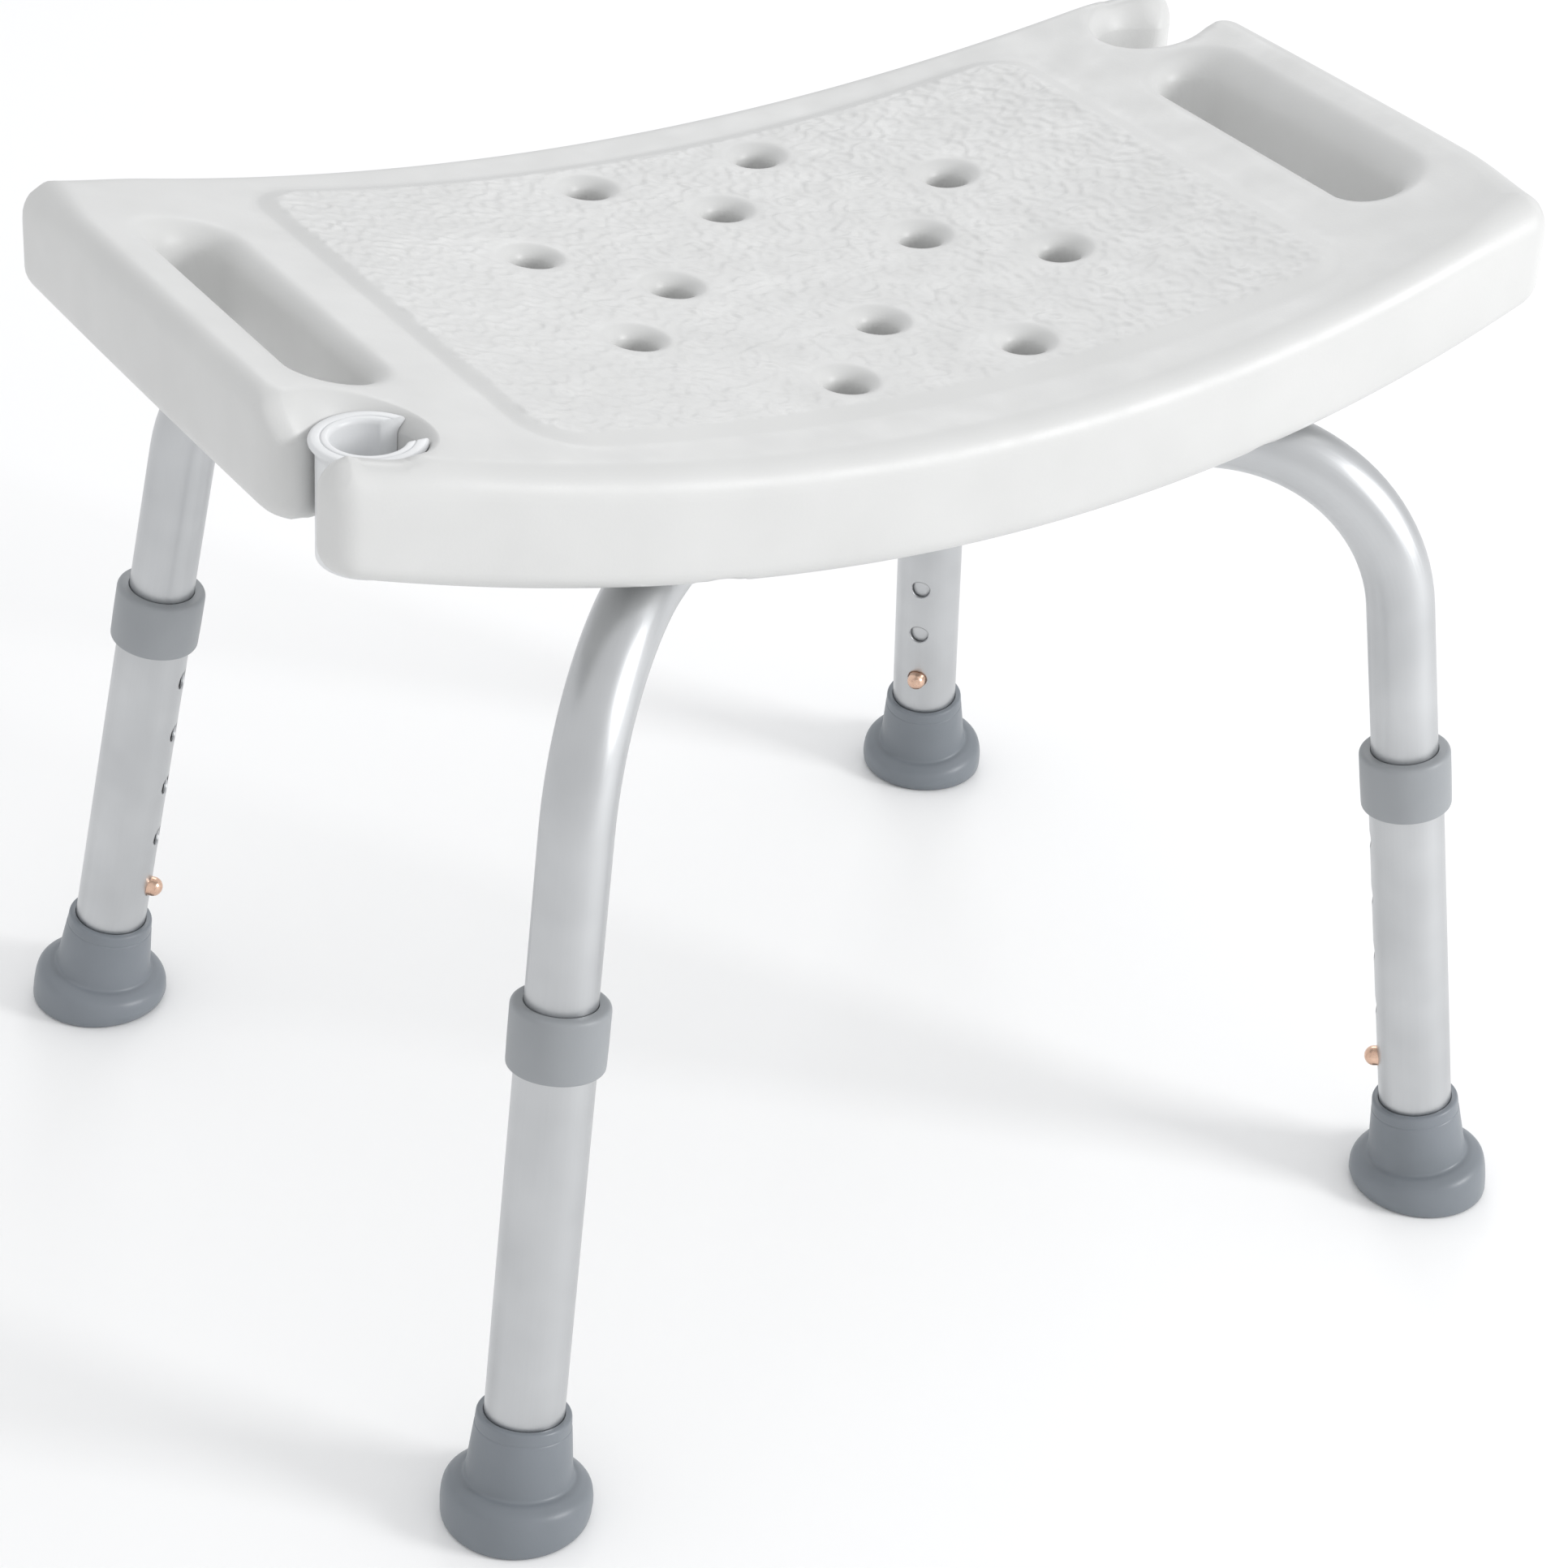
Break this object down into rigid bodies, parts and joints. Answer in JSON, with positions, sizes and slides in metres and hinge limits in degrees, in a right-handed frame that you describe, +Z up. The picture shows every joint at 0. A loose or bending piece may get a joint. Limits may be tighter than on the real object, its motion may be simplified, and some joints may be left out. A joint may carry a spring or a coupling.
{
  "type": "shower stool",
  "caption": "Backless shower stool with a curved hollow plastic seat, hand slots, drain holes and a hand shower notch, on crossed bent tubes with telescoping spring-button legs.",
  "frame": {"origin": "on the floor, midway between the four feet, under the middle of the seat", "axes": "+X along the seat's length to the user's right, +Y to the back, +Z up; the notch with the holder sleeve is at the front left"},
  "size_m": [0.5034, 0.4166, 0.398],
  "materials": {
    "seat_white": "satin blow-moulded polyethylene, with an embossed panel",
    "holder_white": "smooth moulded polypropylene",
    "frame_aluminium": "satin anodised",
    "collar_grey": "smooth moulded",
    "foot_rubber": "matt",
    "button_brass": "polished",
    "insert_brass": "turned",
    "fastener_steel": "stainless"
  },
  "bodies": {
    "frame": {"seat_shell": "seat_white", "seat_insert_centre": "insert_brass", "seat_insert_back_right": "insert_brass", "seat_insert_front_left": "insert_brass", "seat_insert_front_right": "insert_brass", "seat_insert_back_left": "insert_brass", "frame_tube_a": "frame_aluminium", "frame_tube_b": "frame_aluminium", "cross_spacer": "collar_grey", "cross_saddle": "collar_grey", "cross_bolt": "fastener_steel", "seat_saddle_back_right": "collar_grey", "seat_screw_back_right": "fastener_steel", "button_clip_back_right": "fastener_steel", "seat_saddle_front_left": "collar_grey", "seat_screw_front_left": "fastener_steel", "button_clip_front_left": "fastener_steel", "seat_saddle_front_right": "collar_grey", "seat_screw_front_right": "fastener_steel", "button_clip_front_right": "fastener_steel", "seat_saddle_back_left": "collar_grey", "seat_screw_back_left": "fastener_steel", "button_clip_back_left": "fastener_steel"},
    "leg_back_right": {"leg_tube_back_right": "frame_aluminium", "leg_collar_back_right": "collar_grey", "leg_foot_back_right": "foot_rubber", "foot_disc_back_right": "fastener_steel"},
    "leg_front_left": {"leg_tube_front_left": "frame_aluminium", "leg_collar_front_left": "collar_grey", "leg_foot_front_left": "foot_rubber", "foot_disc_front_left": "fastener_steel"},
    "leg_front_right": {"leg_tube_front_right": "frame_aluminium", "leg_collar_front_right": "collar_grey", "leg_foot_front_right": "foot_rubber", "foot_disc_front_right": "fastener_steel"},
    "leg_back_left": {"leg_tube_back_left": "frame_aluminium", "leg_collar_back_left": "collar_grey", "leg_foot_back_left": "foot_rubber", "foot_disc_back_left": "fastener_steel"},
    "button_back_right": {"snap_button_back_right": "button_brass"},
    "button_front_left": {"snap_button_front_left": "button_brass"},
    "button_front_right": {"snap_button_front_right": "button_brass"},
    "button_back_left": {"snap_button_back_left": "button_brass"},
    "holder": {"holder_sleeve": "holder_white"}
  },
  "joints": [
    {"name": "leg_slide_back_right", "type": "slide", "parent": "frame", "child": "leg_back_right", "axis": [0.1209, 0.1057, -0.987], "range_m": [0, 0.1016], "deforming": ["snap_button_back_right"]},
    {"name": "leg_slide_front_left", "type": "slide", "parent": "frame", "child": "leg_front_left", "axis": [-0.1209, -0.1057, -0.987], "range_m": [0, 0.1016], "deforming": ["snap_button_front_left"]},
    {"name": "leg_slide_front_right", "type": "slide", "parent": "frame", "child": "leg_front_right", "axis": [0.1209, -0.1057, -0.987], "range_m": [0, 0.1016], "deforming": ["snap_button_front_right"]},
    {"name": "leg_slide_back_left", "type": "slide", "parent": "frame", "child": "leg_back_left", "axis": [-0.1209, 0.1057, -0.987], "range_m": [0, 0.1016], "deforming": ["snap_button_back_left"]},
    {"name": "button_press_back_right", "type": "slide", "parent": "frame", "child": "button_back_right", "axis": [0.743, 0.6498, 0.1606], "range_m": [0, 0.0068], "stiffness_N_per_m": 1500, "springref_m": -0.002, "deforming": ["button_clip_back_right"]},
    {"name": "button_press_front_left", "type": "slide", "parent": "frame", "child": "button_front_left", "axis": [-0.743, -0.6498, 0.1606], "range_m": [0, 0.0068], "stiffness_N_per_m": 1500, "springref_m": -0.002, "deforming": ["button_clip_front_left"]},
    {"name": "button_press_front_right", "type": "slide", "parent": "frame", "child": "button_front_right", "axis": [0.743, -0.6498, 0.1606], "range_m": [0, 0.0068], "stiffness_N_per_m": 1500, "springref_m": -0.002, "deforming": ["button_clip_front_right"]},
    {"name": "button_press_back_left", "type": "slide", "parent": "frame", "child": "button_back_left", "axis": [-0.743, 0.6498, 0.1606], "range_m": [0, 0.0068], "stiffness_N_per_m": 1500, "springref_m": -0.002, "deforming": ["button_clip_back_left"]},
    {"name": "holder_turn", "type": "hinge", "parent": "frame", "child": "holder", "pos_m": [-0.222, -0.094, 0.366], "axis": [0, 0, 1], "range_deg": [0, 180]}
  ]
}
